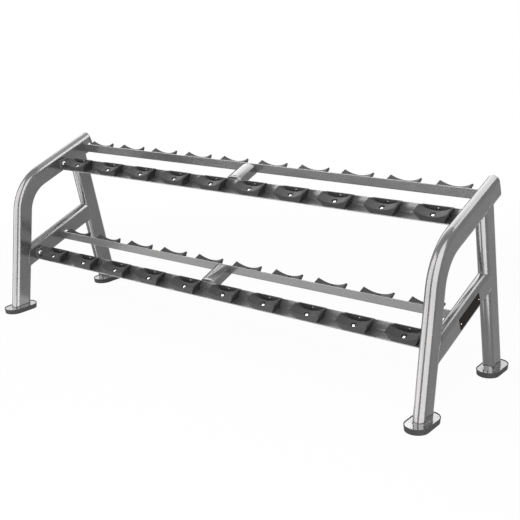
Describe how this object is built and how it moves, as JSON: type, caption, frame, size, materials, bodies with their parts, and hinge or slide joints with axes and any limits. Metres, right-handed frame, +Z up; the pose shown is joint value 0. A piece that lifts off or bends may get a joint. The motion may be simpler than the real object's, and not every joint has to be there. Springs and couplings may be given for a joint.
{
  "type": "dumbbell rack",
  "caption": "Tiered sloping rack: bent flat-oval side frames, bent-plate rails and moulded saddles that carry dumbbells by their heads.",
  "frame": {"origin": "on the floor, midway between the side frames and midway between the front and the rear feet", "axes": "+X to the right along the rack, seen from the front; +Y to the back, where the tiers are highest; +Z up"},
  "size_m": [2.369, 0.7736, 0.828],
  "materials": {
    "painted_steel": "glossy silver-grey metallic powder coat",
    "cap_plastic": "satin black moulded plastic",
    "foot_rubber": "matt black rubber",
    "polished_plate": "mirror-polished steel",
    "badge_black": "satin black plate",
    "saddle_polymer": "matt black moulded polymer",
    "bright_fastener": "bright plated steel",
    "zinc_fastener": "dull zinc plate"
  },
  "bodies": {
    "root": {"badge_rivets": "bright_fastener", "left_badge_plate": "badge_black", "left_cross_tube": "painted_steel", "left_front_foot_pad": "foot_rubber", "left_front_foot_plate": "polished_plate", "left_front_upright": "painted_steel", "left_rear_foot_pad": "foot_rubber", "left_rear_foot_plate": "polished_plate", "left_rear_leg": "painted_steel", "left_top_cap": "cap_plastic", "lower_centre_brace": "painted_steel", "lower_front_rail": "painted_steel", "lower_left_end_plates": "painted_steel", "lower_rear_rail": "painted_steel", "lower_right_end_plates": "painted_steel", "lower_saddle_pair_01": "saddle_polymer", "lower_saddle_pair_02": "saddle_polymer", "lower_saddle_pair_03": "saddle_polymer", "lower_saddle_pair_04": "saddle_polymer", "lower_saddle_pair_05": "saddle_polymer", "lower_saddle_pair_06": "saddle_polymer", "lower_saddle_pair_07": "saddle_polymer", "lower_saddle_pair_08": "saddle_polymer", "lower_saddle_pair_09": "saddle_polymer", "lower_saddle_pair_10": "saddle_polymer", "rail_bolt_nuts": "zinc_fastener", "rail_bolt_washers": "bright_fastener", "rail_bolts": "bright_fastener", "right_badge_plate": "badge_black", "right_cross_tube": "painted_steel", "right_front_foot_pad": "foot_rubber", "right_front_foot_plate": "polished_plate", "right_front_upright": "painted_steel", "right_rear_foot_pad": "foot_rubber", "right_rear_foot_plate": "polished_plate", "right_rear_leg": "painted_steel", "right_top_cap": "cap_plastic", "saddle_flange_nuts": "zinc_fastener", "saddle_flange_screws": "bright_fastener", "saddle_seat_nuts": "zinc_fastener", "saddle_seat_screws": "bright_fastener", "upper_centre_brace": "painted_steel", "upper_front_rail": "painted_steel", "upper_left_end_plates": "painted_steel", "upper_rear_rail": "painted_steel", "upper_right_end_plates": "painted_steel", "upper_saddle_pair_01": "saddle_polymer", "upper_saddle_pair_02": "saddle_polymer", "upper_saddle_pair_03": "saddle_polymer", "upper_saddle_pair_04": "saddle_polymer", "upper_saddle_pair_05": "saddle_polymer", "upper_saddle_pair_06": "saddle_polymer", "upper_saddle_pair_07": "saddle_polymer", "upper_saddle_pair_08": "saddle_polymer", "upper_saddle_pair_09": "saddle_polymer", "upper_saddle_pair_10": "saddle_polymer"}
  },
  "joints": []
}
